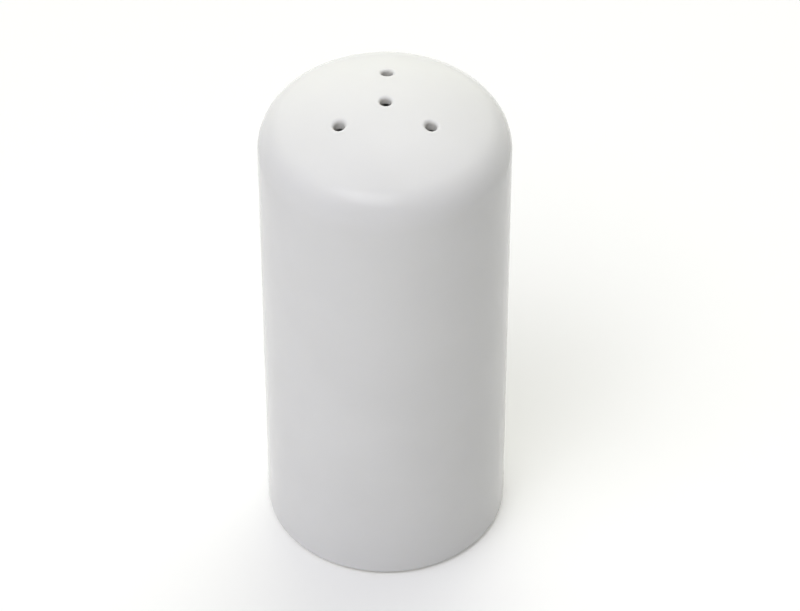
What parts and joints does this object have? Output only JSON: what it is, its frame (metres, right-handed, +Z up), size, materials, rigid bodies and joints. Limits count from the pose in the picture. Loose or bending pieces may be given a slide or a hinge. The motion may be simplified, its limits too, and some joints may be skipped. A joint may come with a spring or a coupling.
{
  "type": "pepper shaker",
  "caption": "Round white porcelain pepper shaker with pour holes in a domed top, a hollow chamber and a soft pull-out stopper in its recessed base.",
  "frame": {"origin": "middle of the circle that the foot ring stands on, on the body's axis", "axes": "+Z up the body's axis towards the domed top, and +Y towards the one hole of the ring that is furthest from the viewer, so that the other two lie left and right of the front"},
  "size_m": [0.045, 0.045, 0.097],
  "materials": {
    "porcelain_glaze": "clear gloss glaze over white porcelain, bare and matt on the foot ring",
    "silicone": "frosted translucent white silicone"
  },
  "bodies": {
    "body": {"shaker_body": "porcelain_glaze"},
    "stopper": {"base_stopper": "silicone"}
  },
  "joints": [
    {"name": "stopper_pull", "type": "slide", "parent": "body", "child": "stopper", "axis": [0, 0, -1], "range_m": [0, 0.045]}
  ]
}
